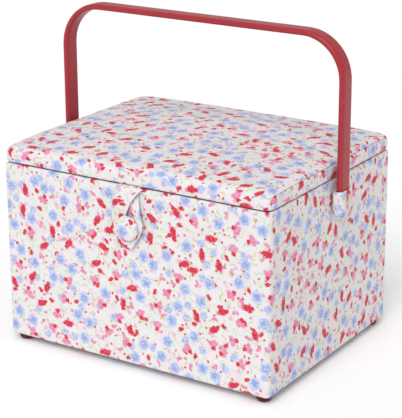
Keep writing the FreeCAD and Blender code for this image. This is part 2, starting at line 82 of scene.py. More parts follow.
def linear(hex_colour):
    """sRGB hex to the linear colour that shaders take."""
    channels = [int(hex_colour[i:i + 2], 16) / 255 for i in (1, 3, 5)]
    return tuple(c / 12.92 if c <= 0.04045 else ((c + 0.055) / 1.055) ** 2.4 for c in channels) + (1.0,)


def add(tree, kind, inputs=(), out=0, **settings):
    """Adds one node and gives one of its outputs. Inputs are outputs, numbers or hex colours."""
    node = tree.nodes.new(kind if "Node" in kind else "ShaderNode" + kind)
    for key, value in settings.items():
        setattr(node, key, value)
    for key, value in inputs.items() if isinstance(inputs, dict) else enumerate(inputs):
        if isinstance(value, bpy.types.NodeSocket):
            tree.links.new(value, node.inputs[key])
        else:
            node.inputs[key].default_value = linear(value) if isinstance(value, str) else value
    return node.outputs[out]


def new_material(name, **finish):
    """Material with one Principled shader, whose even values are set on its own sockets."""
    material = bpy.data.materials.new(name)
    material.use_nodes = True
    tree = material.node_tree
    shader = tree.nodes["Principled BSDF"]
    for socket, value in finish.items():
        shader.inputs[socket.replace("_", " ")].default_value = value
    return material, tree, shader


def finish_surface(tree, shader, colour, height, strength, depth):
    """Links the colour and the relief; depth is the relief's height in metres."""
    tree.links.new(colour, shader.inputs["Base Color"])
    relief = add(tree, "Bump", {"Strength": strength, "Distance": depth, "Height": height})
    tree.links.new(relief, shader.inputs["Normal"])


def coats(tree, ground, layers):
    """Paints each (share, colour) over what is under it."""
    for share, colour in layers:
        ground = add(tree, "Mix", {0: share, 6: ground, 7: colour}, out=2, data_type="RGBA")
    return ground


def millimetres_on_cloth(tree):
    """Place on the flat cloth that a piece was cut from, in mm."""
    cloth = add(tree, "UVMap", uv_map="cloth")
    return add(tree, "VectorMath", {0: cloth, "Scale": 1 / mm}, operation="SCALE")


def weave_of(tree, place, thread_mm):
    """Height of a plain weave: 1 on top of a thread, 0 between threads."""
    turns = add(tree, "VectorMath", {0: place, "Scale": math.pi / thread_mm}, operation="SCALE")
    waves = add(tree, "VectorMath", [turns], operation="SINE")
    across, along = add(tree, "SeparateXYZ", [waves]).node.outputs[:2]
    over_under = add(tree, "Math", [across, along], operation="MULTIPLY")
    return add(tree, "Math", [over_under, 0.5, 0.5], operation="MULTIPLY_ADD")


def scatter(tree, place, pitch, looseness, shift):
    """Motifs scattered over the cloth: place in mm about the nearest, turned at random, and two random shares."""
    cell = add(tree, "Mapping", {"Vector": place, "Location": shift, "Rotation": (0, 0, 0.42),
                                 "Scale": (1 / pitch,) * 3})
    nearest = add(tree, "TexVoronoi", {"Vector": cell, "Scale": 1.0, "Randomness": looseness},
                  voronoi_dimensions="2D").node
    away = add(tree, "VectorMath", [cell, nearest.outputs["Position"]], operation="SUBTRACT")
    local = add(tree, "VectorMath", {0: away, "Scale": pitch}, operation="SCALE")
    luck = add(tree, "SeparateColor", [nearest.outputs["Color"]]).node.outputs
    angle = add(tree, "Math", [luck[0], 2 * math.pi], operation="MULTIPLY")
    turned = add(tree, "VectorRotate", {"Vector": local, "Angle": angle}, rotation_type="Z_AXIS")
    return turned, luck[1], luck[2]


def mark(tree, place, ovals, luck=None, low=0.0, high=1.0, soft=0.16):
    """Share of a mark painted as ovals (centre, size, turn) in mm, only where luck is from low to high."""
    share = 0.0
    for centre, size, turn in ovals:
        inside = add(tree, "Mapping", {"Vector": place, "Location": (*centre, 0), "Rotation": (0, 0, turn),
                                       "Scale": (*size, 1)}, vector_type="TEXTURE")
        reach = add(tree, "VectorMath", [inside], out="Value", operation="LENGTH")
        oval = add(tree, "MapRange", {"Value": reach, "From Min": 1 + soft, "From Max": 1 - soft},
                   interpolation_type="SMOOTHSTEP")
        share = add(tree, "Math", [share, oval], operation="MAXIMUM")
    if luck is not None:
        here = add(tree, "Math", [luck, (low + high) / 2, (high - low) / 2], operation="COMPARE")
        share = add(tree, "Math", [share, here], operation="MULTIPLY")
    return share


# ---------------------------------------------------------------- materials
def printed_cotton():
    """Plain-woven cotton printed with small watercolour flowers: matt, with a faint fuzz at its edges."""
    material, tree, shader = new_material("printed_cotton_plain_weave", Roughness=0.88, Sheen_Weight=0.1,
                                          Sheen_Roughness=0.45, Specular_IOR_Level=0.25)
    place = millimetres_on_cloth(tree)
    # Real threads are 0.4 mm wide, which is too fine to show.
    weave = weave_of(tree, place, thread_mm=0.9)

    # The brush wanders by half a millimetre, and the dye pools and streaks over 2 to 3 mm.
    wander = add(tree, "TexNoise", {"Vector": place, "Scale": 0.42, "Detail": 2.0}, out=1,
                 noise_dimensions="2D")
    centred = add(tree, "VectorMath", [wander, (0.5, 0.5, 0.5)], operation="SUBTRACT")
    brushed = add(tree, "VectorMath", [centred, (3.4, 3.4, 0), place], operation="MULTIPLY_ADD")
    wash = add(tree, "TexNoise", {"Vector": place, "Scale": 0.36, "Detail": 3.0, "Roughness": 0.6},
               noise_dimensions="2D")
    streaks = add(tree, "MapRange", {"Value": wash, "From Min": 0.35, "From Max": 0.65})
    drift = add(tree, "TexNoise", {"Vector": place, "Scale": 0.045, "Detail": 2.0}, noise_dimensions="2D")
    rosy = add(tree, "MapRange", {"Value": drift, "From Min": 0.52, "From Max": 0.72, "To Max": 0.55})
    mossy = add(tree, "MapRange", {"Value": drift, "From Min": 0.48, "From Max": 0.3, "To Max": 0.5})

    # Thin pale leaves, loosely in pairs; some of them straw yellow.
    leaf_at, leaf_depth, leaf_kind = scatter(tree, brushed, 9.5, 0.9, (3.1, 7.7, 0))
    leaves = [((1.8, 0.6), (2.9, 0.8), 0.5), ((-1.6, 1.0), (2.3, 0.75), 2.3)]
    faint = add(tree, "MapRange", {"Value": leaf_depth, "To Min": 0.25, "To Max": 0.9})
    leaf = add(tree, "Math", [mark(tree, leaf_at, leaves, soft=0.35), faint], operation="MULTIPLY")
    straw = mark(tree, leaf_at, leaves[:1], leaf_kind, 0.75, 1.0, soft=0.35)

    # Buds no bigger than 3 mm, and loose pale petals.
    bud_at, bud_kind, _ = scatter(tree, brushed, 10.5, 0.9, (11.3, 2.2, 0))
    bud = mark(tree, bud_at, [((-0.6, -0.4), (1.5, 1.25), 0.2)], bud_kind, 0.0, 0.6, soft=0.3)
    petal = mark(tree, bud_at, [((0.8, 0.4), (2.6, 1.6), 0.4)], bud_kind, 0.7, 1.0, soft=0.4)

    # Small flowers 7 to 9 mm across: blue rosettes, red ovals and pink pairs.
    near, small, _ = scatter(tree, brushed, 17.0, 0.75, (6.9, 13.4, 0))
    rosette = mark(tree, near, [((0.2, 0.3), (4.4, 4.0), 0.3)], small, 0.0, 0.42, soft=0.28)
    oval = mark(tree, near, [((0.0, 0.0), (3.5, 2.2), 0.4)], small, 0.42, 0.72, soft=0.24)
    two_petals = [((-1.6, 1.2), (2.6, 1.8), -0.6), ((1.7, 1.3), (2.5, 1.7), 0.7)]
    pair = mark(tree, near, two_petals, small, 0.72, 1.0, soft=0.3)

    # Large flowers up to 16 mm across: blue, poppy red with a pink petal, or pink with a red head.
    at, kind, _ = scatter(tree, brushed, 21.0, 0.5, (0.4, 5.9, 0))
    across, along = add(tree, "SeparateXYZ", [at]).node.outputs[:2]
    bearing = add(tree, "Math", [along, across], operation="ARCTAN2")
    lobes = add(tree, "Math", [add(tree, "Math", [bearing, 5.0], operation="MULTIPLY")], operation="SINE")
    rim = add(tree, "Math", [lobes, 0.6, 6.9], operation="MULTIPLY_ADD")
    out = add(tree, "VectorMath", [at], out="Value", operation="LENGTH")
    share_out = add(tree, "Math", [out, rim], operation="DIVIDE")
    flower = add(tree, "MapRange", {"Value": share_out, "From Min": 1.14, "From Max": 0.84, "To Max": 0.95},
                 interpolation_type="SMOOTHSTEP")
    is_blue = add(tree, "Math", [kind, 0.0, 0.4], operation="COMPARE")
    flower = add(tree, "Math", [flower, is_blue], operation="MULTIPLY")
    petals = add(tree, "ValToRGB", [share_out])
    ramp = petals.node.color_ramp
    ramp.elements[0].color, ramp.elements[1].color = linear("#8E9FD2"), linear("#CFD4E5")
    for spot, shade in ((0.3, "#869BD2"), (0.62, "#A3B2DA"), (0.85, "#BBC5E2")):
        ramp.elements.new(spot).color = linear(shade)
    speck = add(tree, "MapRange", {"Value": wash, "From Min": 0.56, "From Max": 0.64, "To Max": 0.75})
    blue = coats(tree, petals, [(speck, "#D6D9E4")])
    light_blue = coats(tree, "#97A6D4", [(streaks, "#C6CDE4")])
    poppy = coats(tree, "#D23544", [(streaks, "#BC2641"), (speck, "#E2717E")])
    blush = coats(tree, "#D9708C", [(streaks, "#C63A55")])
    pink = coats(tree, "#DD9CB7", [(streaks, "#D67598")])
    bean = [((0.6, 0.3), (5.4, 3.6), 0.25), ((-3.8, -1.8), (3.0, 2.2), 0.9)]
    wings = [((-2.6, 1.4), (3.7, 2.5), -0.6), ((2.8, 1.9), (3.6, 2.3), 0.7), ((0.4, 4.2), (2.2, 1.7), 0.1)]

    pattern = coats(tree, "#DFDBDC", [
        (rosy, "#DCCDD4"), (mossy, "#CFD8CB"), (leaf, "#B4C99F"), (straw, "#C9C388"),
        (petal, "#D9AFC4"), (bud, blush), (rosette, light_blue), (oval, poppy), (pair, pink), (flower, blue),
        (mark(tree, at, [((3.6, 3.2), (3.4, 2.2), 0.6)], kind, 0.4, 0.68, soft=0.3), "#DC8FB0"),
        (mark(tree, at, bean, kind, 0.4, 0.68, soft=0.22), poppy),
        (mark(tree, at, wings, kind, 0.68, 1.0, soft=0.3), pink),
        (mark(tree, at, [((0.2, -2.9), (2.7, 2.4), 0.0)], kind, 0.68, 1.0, soft=0.25), poppy)])
    # Painted shade between the threads: the weave's low places are darkened by up to 5 per cent.
    shade = add(tree, "MapRange", {"Value": weave, "To Min": 0.95, "To Max": 1.0})
    threads = add(tree, "Mix", {0: 1.0, 6: pattern, 7: shade}, out=2, data_type="RGBA", blend_type="MULTIPLY")
    finish_surface(tree, shader, threads, weave, 0.35, 0.12 * mm)
    return material


def plain_cotton(name, colour, slub_and_gap_shade_colour, thread_mm):
    """Undyed or plain-dyed woven cotton: matt, its threads uneven in thickness and tone, with painted shade in the
    gaps between them.
    """
    material, tree, shader = new_material(name, Roughness=0.9, Sheen_Weight=0.12, Sheen_Roughness=0.5,
                                          Specular_IOR_Level=0.25)
    place = millimetres_on_cloth(tree)
    weave = weave_of(tree, place, thread_mm)
    slubs = add(tree, "Mapping", {"Vector": place, "Scale": (0.05, 0.9, 1)})
    uneven = add(tree, "TexNoise", {"Vector": slubs, "Scale": 1.0, "Detail": 3.0}, noise_dimensions="2D")
    share = add(tree, "MapRange", {"Value": uneven, "From Min": 0.35, "From Max": 0.7})
    shade = coats(tree, colour, [(share, slub_and_gap_shade_colour)])
    # Painted shade: the gaps between the threads are darkened towards the second colour.
    painted_gap_shade = add(tree, "MapRange", {"Value": weave, "To Min": 0.2, "To Max": 0.0})
    finish_surface(tree, shader, coats(tree, shade, [(painted_gap_shade, slub_and_gap_shade_colour)]), weave, 0.5, 0.15 * mm)
    return material


def moulded_plastic(name, colour, worn_colour, roughness, grain_mm, shine=0.14):
    """Injection-moulded plastic: an even satin skin, slightly dimpled, paler where it has been rubbed."""
    material, tree, shader = new_material(name, IOR=1.49, Specular_IOR_Level=shine)
    place = add(tree, "TexCoord", out="Object")
    dimples = add(tree, "TexNoise", {"Vector": place, "Scale": 1 / (grain_mm * mm), "Detail": 2.0})
    rubbed = add(tree, "TexNoise", {"Vector": place, "Scale": 38.0, "Detail": 5.0, "Roughness": 0.62})
    wear = add(tree, "MapRange", {"Value": rubbed, "From Min": 0.52, "From Max": 0.8, "To Max": 0.45})
    haze = add(tree, "MapRange", {"Value": rubbed, "From Min": 0.3, "From Max": 0.7,
                                  "To Min": roughness - 0.05, "To Max": roughness + 0.09})
    tree.links.new(haze, shader.inputs["Roughness"])
    finish_surface(tree, shader, coats(tree, colour, [(wear, worn_colour)]), dimples, 0.12, 0.2 * mm)
    return material


def fibrous(name, colour, fleck_colour, fleck, relief, **finish):
    """Matt stuff of fibres or ply. fleck is (flecks a metre, detail, least, most), and relief (share, depth)."""
    material, tree, shader = new_material(name, **finish)
    place = add(tree, "TexCoord", out="Object")
    scale, detail, least, most = fleck
    fibres = add(tree, "Mapping", {"Vector": place, "Scale": scale})
    flecks = add(tree, "TexNoise", {"Vector": fibres, "Scale": 1.0, "Detail": detail})
    share = add(tree, "MapRange", {"Value": flecks, "From Min": least, "From Max": most})
    finish_surface(tree, shader, coats(tree, colour, [(share, fleck_colour)]), flecks, *relief)
    return material


def metal(name, colour, dull_colour, roughness, stroke):
    """Stamped or turned metal: bright, with fine tool strokes and a little tarnish."""
    material, tree, shader = new_material(name, Metallic=1.0)
    place = add(tree, "TexCoord", out="Object")
    strokes = add(tree, "Mapping", {"Vector": place, "Scale": stroke})
    scratch = add(tree, "TexNoise", {"Vector": strokes, "Scale": 1.0, "Detail": 3.0})
    tarnish = add(tree, "TexNoise", {"Vector": place, "Scale": 420.0, "Detail": 3.0})
    share = add(tree, "MapRange", {"Value": tarnish, "From Min": 0.45, "From Max": 0.75})
    rough = add(tree, "MapRange", {"Value": scratch, "From Min": 0.3, "From Max": 0.7,
                                   "To Min": roughness - 0.06, "To Max": roughness + 0.1})
    tree.links.new(rough, shader.inputs["Roughness"])
    finish_surface(tree, shader, coats(tree, colour, [(share, dull_colour)]), scratch, 0.15, 0.05 * mm)
    return material


def foam():
    """Open-cell foam: cream, pitted all over."""
    material, tree, shader = new_material("cut_foam", Roughness=0.95)
    place = add(tree, "TexCoord", out="Object")
    pits = add(tree, "TexVoronoi", {"Vector": place, "Scale": 900.0})
    finish_surface(tree, shader, coats(tree, "#D8D0B8", [(pits, "#EDE8D6")]), pits, 0.5, 0.3 * mm)
    return material


print_cloth = printed_cotton()
# Each second colour is both the darker slubs and the painted shade between the threads.
lining_cloth = plain_cotton("dyed_cotton_lining", "#EBD9DC", "#DCC5CA", thread_mm=0.8)
cushion_cloth = plain_cotton("brushed_cotton_cushion", "#C9566A", "#AE3F55", thread_mm=0.9)
elastic_cloth = plain_cotton("ribbed_elastic", "#F0E6E4", "#D6C6C6", thread_mm=1.1)
# Red and satin, with a soft line of light along its edges.
handle_plastic = moulded_plastic("satin_red_polypropylene", "#9C2830", "#AC4046", 0.33, 2.6, shine=0.35)
foot_plastic = moulded_plastic("dark_red_polypropylene", "#5E1A1C", "#7E3430", 0.42, 2.2)
tray_plastic = moulded_plastic("white_polystyrene", "#EAE9E4", "#F4F3EF", 0.32, 3.0)
button_plastic = moulded_plastic("natural_nylon", "#E0DCD2", "#ECE9E2", 0.45, 1.8)
# Brown and dull, with short fibres about 1 mm thick and 4 mm long.
board = fibrous("pressed_fibreboard", "#B5946F", "#8E6C4A", ((900, 260, 900), 4.0, 0.35, 0.68),
                (0.3, 0.2 * mm), Roughness=0.82)
# Off-white paper face over grey board, faintly mottled.
base_card = fibrous("lined_pasteboard", "#DAD7D1", "#C5C1B9", ((700, 700, 700), 4.0, 0.4, 0.66),
                    (0.2, 0.1 * mm), Roughness=0.78)
brass = metal("domed_brass", "#C9A35C", "#9C7A42", 0.26, (300, 2600, 300))
steel = metal("zinc_plated_steel", "#A9ABAE", "#8A8D90", 0.34, (1800, 1800, 500))
# White with a soft sheen, and darker flecks as painted shade between its plies.
white_thread = fibrous("white_polyester_thread", "#F3EFEC", "#D9D2CF", ((2600, 2600, 2600), 1.0, 0.4, 0.6),
                       (0.4, 0.1 * mm), Roughness=0.6, Sheen_Weight=0.2, Sheen_Roughness=0.4)
pad_foam = foam()

by_slot = {"fibreboard": board, "printed_cotton": print_cloth, "plain_lining": lining_cloth,
           "padding_foam": pad_foam, "base_paper": base_card, "red_plastic": handle_plastic,
           "dark_red_plastic": foot_plastic, "tray_plastic": tray_plastic, "button_plastic": button_plastic,
           "sewing_thread": white_thread, "brass": brass, "screw_steel": steel}
for part in frame["record"]["subparts"]:
    for slot in frame["nodes"][part["node"]].material_slots:
        slot.material = by_slot[part["material_slot"]]


# ---------------------------------------------------------------- cloth in code
def new_piece(name, points, faces, cloth, material):
    """Smooth mesh at the origin. cloth says where each face's corners lie on the flat cloth, in metres."""
    mesh = bpy.data.meshes.new(name)
    mesh.from_pydata([tuple(p) for p in points], [], faces)
    layer = mesh.uv_layers.new(name="cloth")
    layer.uv.foreach_set("vector", np.array([place for face in cloth for place in face], np.float32).ravel())
    mesh.shade_smooth()
    mesh.materials.append(material)
    return new_object(name, mesh)


def woven(us, vs, at, wrap=False, close=""):
    """Quads through rows of points: at(u, v) gives a point and its place on the cloth. wrap joins a row's last
    point to its first, and close fills the first ring, or both, with one face."""
    grid = [[at(u, v) for u in us] for v in vs]
    count = len(grid[0]) - wrap
    points = [point for row in grid for point, _ in row[:count]]
    faces, cloth = [], []
    for i in range(len(grid) - 1):
        for j in range(len(grid[0]) - 1):
            k = (j + 1) % count
            faces.append((i * count + j, i * count + k, (i + 1) * count + k, (i + 1) * count + j))
            cloth.append([grid[i + down][j + on][1] for down, on in ((0, 0), (0, 1), (1, 1), (1, 0))])
    if close:
        faces.append(tuple(reversed(range(count))))
        cloth.append([grid[0][k][1] for k in reversed(range(count))])
    if close == "both":
        faces.append(tuple(range(len(points) - count, len(points))))
        cloth.append([grid[-1][k][1] for k in range(count)])
    return points, faces, cloth


def turned(points, faces, cloth):
    """The same mesh with the other side of its faces outwards."""
    return points, [tuple(reversed(face)) for face in faces], [face[::-1] for face in cloth]


def thicken(piece, thickness, offset=-1.0):
    """Gives a sheet its thickness; offset -1 grows it inwards, away from its face."""
    solid = piece.modifiers.new("thickness", "SOLIDIFY")
    solid.thickness, solid.offset, solid.use_even_offset = thickness, offset, True


def smooth_over(piece):
    """Rounds the piece off with one step of subdivision."""
    finer = piece.modifiers.new("smoothing", "SUBSURF")
    finer.levels = finer.render_levels = 1


def ripple(x, y, z, size, seed=0.0):
    """Uneven lie of cloth, from -1 to 1, over waves about size metres long."""
    return noise.noise(Vector((x / size + seed, y / size - seed, z / size + 3.1 * seed)))


def path_lengths(profile):
    """Distance along a profile at each of its points."""
    steps = [math.dist(a, b) for a, b in zip(profile, profile[1:])]
    return [0.0, *np.cumsum(steps)]


def stations(half_x, half_y, radius, step):
    """Places round a rounded rectangle, anticlockwise from the back's left end, and its length. Each is
    (distance, share of the way to each side's middle point, outward direction)."""
    places, distance = [], 0.0
    corner_steps = 6
    for k in range(4):
        turn = math.pi / 2 * (k + 1)
        here, there = [tuple(round(f(turn + more) * math.sqrt(2)) for f in (math.cos, math.sin))
                       for more in (math.pi / 4, 3 * math.pi / 4)]
        for i in range(corner_steps):
            angle = turn + math.pi / 2 * i / corner_steps
            places.append((distance + radius * (angle - turn), here, (math.cos(angle), math.sin(angle))))
        distance += radius * math.pi / 2
        side = 2 * ((half_y, half_x)[k % 2] - radius)
        count = max(2, round(side / step))
        outward = (math.cos(turn + math.pi / 2), math.sin(turn + math.pi / 2))
        for j in range(count):
            t = j / count
            places.append((distance + t * side, tuple(a + (b - a) * t for a, b in zip(here, there)), outward))
        distance += side
    return places, distance


def closed(places, length):
    """Places round a ring, with the first again at the end, the ring's length further on."""
    return [*places, (length, *places[0][1:])]


def set_in(place, half_x, half_y, radius, inset):
    """x and y of a station, set in from the outline; past the corner's own radius the corner is a tight fold."""
    left = max(radius - inset, 0.5 * mm)
    _, (share_x, share_y), (out_x, out_y) = place
    return share_x * (half_x - inset - left) + out_x * left, share_y * (half_y - inset - left) + out_y * left


def middle_and_half(low, high):
    """Middle of a box, then half its size, each in x, y and z."""
    return [(a + b) / 2 for a, b in zip(low, high)], [(b - a) / 2 for a, b in zip(low, high)]


def inflate(piece, held, pressure, reach):
    """Blows the piece up as cloth held at some of its points, and keeps each point within reach of where it was."""
    group = piece.vertex_groups.new(name="held")
    group.add(held, 1.0, "REPLACE")
    cloth = piece.modifiers.new("cloth", "CLOTH")
    settings = cloth.settings
    settings.quality, settings.mass = 6, 0.25
    settings.tension_stiffness = settings.compression_stiffness = 12
    settings.bending_stiffness, settings.shrink_min = 0.4, -0.012
    settings.use_pressure, settings.uniform_pressure_force = True, pressure
    settings.vertex_group_mass = "held"
    settings.effector_weights.gravity = 0
    cloth.collision_settings.use_collision = False
    last_frame = 20
    cloth.point_cache.frame_start, cloth.point_cache.frame_end = 1, last_frame
    scene = bpy.context.scene
    for number in range(1, last_frame + 1):
        scene.frame_set(number)
    blown = piece.evaluated_get(bpy.context.evaluated_depsgraph_get()).to_mesh()
    for before, after in zip(piece.data.vertices, blown.vertices):
        move = after.co - before.co
        if move.length > reach:
            move *= reach / move.length
        before.co = before.co + move
    piece.modifiers.remove(cloth)
    piece.vertex_groups.clear()
    scene.frame_set(1)


# ---------------------------------------------------------------- body cover
cover_low, cover_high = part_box("body_cover")
half_x, half_y = (cover_high.x - cover_low.x) / 2, (cover_high.y - cover_low.y) / 2
middle_y = (cover_high.y + cover_low.y) / 2
body_radius = 5 * mm
hem = 18 * mm
board_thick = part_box("body_lining")[0].x - cover_low.x  # cover and wall board together


def body_profile():
    """Cross-section of the cover as (inset, z): hem under the base, up the wall, over the rim."""
    low, high = cover_low.z, cover_high.z - 0.45 * mm
    profile = [(hem, low), (12 * mm, low), (5 * mm, low), (1.9 * mm, low), (0.9 * mm, low + 0.25 * mm),
               (0.25 * mm, low + 0.9 * mm), (0, low + 2 * mm)]
    profile += [(0, z) for z in np.linspace(low + 5 * mm, high - 5 * mm, 37)]
    profile += [(0, high - 2.6 * mm), (0.35 * mm, high - 1.2 * mm), (1.1 * mm, high - 0.35 * mm),
                (2.1 * mm, high), (3.4 * mm, high), (4.5 * mm, high - 0.3 * mm), (board_thick, high - 1.1 * mm),
                (board_thick + 0.1 * mm, high - 3 * mm)]
    return profile


def body_cover():
    """One strip of cloth round the box, its ends lapped near the back's left corner."""
    places, length = stations(half_x, half_y, body_radius, 5 * mm)
    before = 6  # stations by which the strip starts short of that corner
    rises = [0.5 * mm, 0.9 * mm, 0.9 * mm]  # its lapped end, off the start that it lies over
    lapped = len(rises)
    strip = [(p[0] - length, *p[1:]) for p in places[-before:]] + places[:-before] + places[-before:lapped - before]
    lifts = [0.0] * (len(strip) - lapped) + rises
    profile = body_profile()
    along = path_lengths(profile)

    def at(strip_place, n):
        (place, lift), (inset, z) = strip_place, profile[n]
        lower, upper = profile[max(n - 1, 0)], profile[min(n + 1, len(profile) - 1)]
        step = math.dist(lower, upper)
        x, y = set_in(place, half_x, half_y, body_radius, inset)
        puff = lift * (upper[1] - lower[1]) / step
        if cover_low.z + 3 * mm < z < cover_high.z - 3 * mm and inset == 0:
            puff += 0.32 * mm * ripple(x, y, z, 45 * mm) + 0.12 * mm * ripple(x, y, z, 14 * mm, 7.0)
        over = 0.5 * lift * (upper[0] - lower[0]) / step  # the lap lies over the hem and the rim too
        out_x, out_y = place[2]
        return (x + out_x * puff, middle_y + y + out_y * puff, z + over), (place[0], along[n])

    piece = new_piece("body_cover_cloth", *woven(list(zip(strip, lifts)), range(len(profile)), at), print_cloth)
    thicken(piece, 0.7 * mm)
    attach(piece, "box")
    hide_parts("body_cover")


# ---------------------------------------------------------------- padded lid
lid_low, lid_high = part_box("lid_cover")
lid_radius = 9 * mm
lid_edge_z = lid_low.z + 19.2 * mm  # top of the rolled edge, below the crown
lid_seam_z = lid_low.z + 14.6 * mm
seam_depth = 2.2 * mm
under_flap = 9.4 * mm
corner_drop = 3.4 * mm  # the cotton is pulled tight over the padding at the corners


def lid_lines(half):
    """Grid lines across the lid's top, closer together towards its rolled edges."""
    near = [d * mm for d in (0, 1.3, 2.8, 4.5, 6.5, 9, 12, 15.5)]
    inner = half - 20 * mm
    middle = np.linspace(-inner, inner, round(2 * inner / (5 * mm)) + 1)
    return [-half + d for d in near] + list(middle) + [half - d for d in reversed(near)]


def lid_point(x, y, z, inset=0.0):
    """Point of a plain box moved onto the lid: corners and top edge rounded, top crowned."""
    core_x, core_y, core_z = half_x - lid_radius, half_y - lid_radius, lid_edge_z - lid_radius
    left = max(lid_radius - inset, 0.5 * mm)
    qx, qy, qz = (max(-core_x, min(core_x, x)), max(-core_y, min(core_y, y)), min(z, core_z))
    away = Vector((x - qx, y - qy, z - qz))
    if away.length > 0:
        away *= left / away.length
    if inset > 0:
        qx *= (half_x - inset - left) / core_x
        qy *= (half_y - inset - left) / core_y
    px, py, pz = qx + away.x, qy + away.y, qz + away.z
    if z > core_z:
        swell = 1
        for p, half in ((px, half_x), (py, half_y)):
            swell *= 1 - min(1, abs(p) / (half - 6 * mm)) ** 2.3
        pulled_down = (abs(px) * abs(py) / (half_x * half_y)) ** 6 * (pz - core_z) / lid_radius
        pz += (lid_high.z - lid_edge_z - 1.2 * mm) * swell - corner_drop * pulled_down
    return px, middle_y + py, pz


def padded_lid():
    """The lid's cotton over its padding: a top panel that runs on down the front, side bands, turned-under flap."""
    xs, ys = lid_lines(half_x), lid_lines(half_y)
    nx, ny = len(xs), len(ys)
    points = [lid_point(x, y, lid_edge_z) for y in ys for x in xs]
    flat = [(x, y, lid_edge_z) for y in ys for x in xs]
    faces = [(j * nx + i, j * nx + i + 1, (j + 1) * nx + i + 1, (j + 1) * nx + i)
             for j in range(ny - 1) for i in range(nx - 1)]
    top = list(faces)
    cloth = [[flat[n][:2] for n in corners] for corners in top]
    # The grid's edge, anticlockwise from the back's left corner, with the side that each step lies on.
    edge = [((ny - 1 - j) * nx, "left") for j in range(ny - 1)] + [(i, "front") for i in range(nx - 1)]
    edge += [(j * nx + nx - 1, "right") for j in range(ny - 1)]
    edge += [((ny - 1) * nx + nx - 1 - i, "back") for i in range(nx - 1)]
    around = path_lengths([flat[n] for n, _ in edge + edge[:1]])
    band_x, band_y = 0.31, 0.47  # where the strip of the lower band was cut from the cloth
    levels = [(0, lid_edge_z - d * mm) for d in (1.2, 2.4, 3.4, 4.1)]
    levels += [(0, lid_seam_z), (0, lid_seam_z - 0.5 * mm), (0, lid_seam_z - 1.8 * mm)]
    # Below the seam as (inset, height above the lid's underside), in mm: band, rounded edge and flap.
    levels += [(inset * mm, lid_low.z + height * mm) for inset, height in (
        (0, 10.5), (0, 8), (0, 5.5), (0, 3.2), (0.2, 1.7), (0.75, 0.8), (1.8, 0.45), (5, 0.45), (8.4, 0.45),
        (9.1, 0.8))]
    levels += [(under_flap, lid_low.z + height * mm) for height in (2, 5, 8.6)]
    deep = path_lengths([(0, lid_edge_z)] + levels)
    seam_ring, held = [], []
    upper = ring = [n for n, _ in edge]
    for level, (inset, z) in enumerate(levels):
        lower = list(range(len(points), len(points) + len(ring)))
        points += [lid_point(flat[n][0], flat[n][1], z, inset) for n in ring]
        if z == lid_seam_z:
            outward = {"left": (-1, 0), "right": (1, 0), "back": (0, 1)}
            seam_ring = [(m, outward[side]) for m, (_, side) in zip(lower, edge) if side != "front"]
        if z < lid_edge_z - lid_radius:
            held += lower
        for k, (n, side) in enumerate(edge):
            m = (k + 1) % len(edge)
            faces.append((upper[m], upper[k], lower[k], lower[m]))
            near, far = (flat[n], around[k]), (flat[edge[m][0]], around[k + 1])
            above, beneath = deep[level:level + 2]
            corners = []
            for ((x, y, _), s), down in ((far, above), (near, above), (near, beneath), (far, beneath)):
                if side == "front":
                    corners.append((x, y - down))
                elif z < lid_seam_z:  # the band below the seam is a strip of its own
                    corners.append((s + band_x, band_y - down))
                elif side == "back":
                    corners.append((x, y + down))
                else:
                    corners.append((x + math.copysign(down, x), y))
            cloth.append(corners)
        upper = lower
    below = dict(zip(ring, upper))  # closed underneath by the top's own grid
    for n, (x, y, _) in enumerate(flat):
        if n not in below:
            below[n] = len(points)
            held.append(len(points))
            points.append(lid_point(x, y, levels[-1][1], under_flap))
    for corners in top:
        faces.append(tuple(below[n] for n in reversed(corners)))
        cloth.append([flat[n][:2] for n in reversed(corners)])
    piece = new_piece("padded_lid_cloth", points, faces, cloth, print_cloth)
    inflate(piece, held, 4.0, 4 * mm)
    for vertex in piece.data.vertices:
        x, y, z = vertex.co
        if z > lid_edge_z - lid_radius:
            vertex.co.z += 0.35 * mm * ripple(x, y, 0, 38 * mm) + 0.15 * mm * ripple(x, y, 0, 12 * mm, 4.0)
    for n, (out_x, out_y) in seam_ring:
        piece.data.vertices[n].co -= seam_depth * Vector((out_x, out_y, 0))
    smooth_over(piece)
    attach(piece, "lid")
    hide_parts("lid_cover", "lid_pad")


body_cover()
padded_lid()


def eased(rows, between=4):
    """Smooth curve through every number of each row (Catmull-Rom), with extra rows put between."""
    rows = np.array(rows, float)
    ends = np.vstack([2 * rows[0] - rows[1], rows, 2 * rows[-1] - rows[-2]])
    fine = []
    for i in range(1, len(ends) - 2):
        a, b, c, d = ends[i - 1:i + 3]
        for t in np.arange(between) / between:
            fine.append(0.5 * (2 * b + (c - a) * t + (2 * a - 5 * b + 4 * c - d) * t ** 2
                               + (3 * b - a - 3 * c + d) * t ** 3))
    return np.array(fine + [rows[-1]])


# ---------------------------------------------------------------- closure loop and its button
# In this and the pieces after it, cut_x and cut_y say where a piece was cut from the printed cloth, in metres.
front_y = cover_low.y
rim_z = cover_high.z
